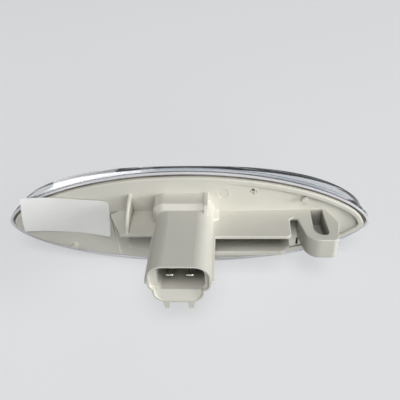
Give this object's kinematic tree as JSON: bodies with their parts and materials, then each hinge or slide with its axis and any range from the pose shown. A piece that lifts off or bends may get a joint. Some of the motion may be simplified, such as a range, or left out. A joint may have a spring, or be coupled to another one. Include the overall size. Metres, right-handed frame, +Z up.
{
  "type": "side repeater lamp",
  "caption": "Almond-shaped side repeater lamp: clear domed lens with a flange, light grey moulded housing with a shelf, fixing lug and plug shroud on its back.",
  "frame": {"origin": "halfway along the line between the lamp's two tips, on the back face of the lens flange, which seats on the body panel", "axes": "+X along the lamp towards the fixing lug, +Y out through the lens, -Y along the plug shroud, +Z up"},
  "size_m": [0.1161, 0.0459, 0.0368],
  "materials": {
    "lens": "clear moulded acrylic",
    "housing": "light grey moulded ABS",
    "sealant": "dark sealing bead",
    "reflector": "metallised plastic",
    "bulb_glass": "amber lamp glass",
    "filament": "tungsten wire",
    "lead_wire": "drawn nickel wire",
    "terminal": "tinned brass",
    "label": "matte paper"
  },
  "bodies": {
    "root": {"lens": "lens", "housing": "housing", "seal_bead": "sealant", "reflector": "reflector", "bulb_glass": "bulb_glass", "filament": "filament", "left_lead_wire": "lead_wire", "right_lead_wire": "lead_wire", "left_terminal": "terminal", "right_terminal": "terminal", "paper_label": "label"}
  },
  "joints": []
}
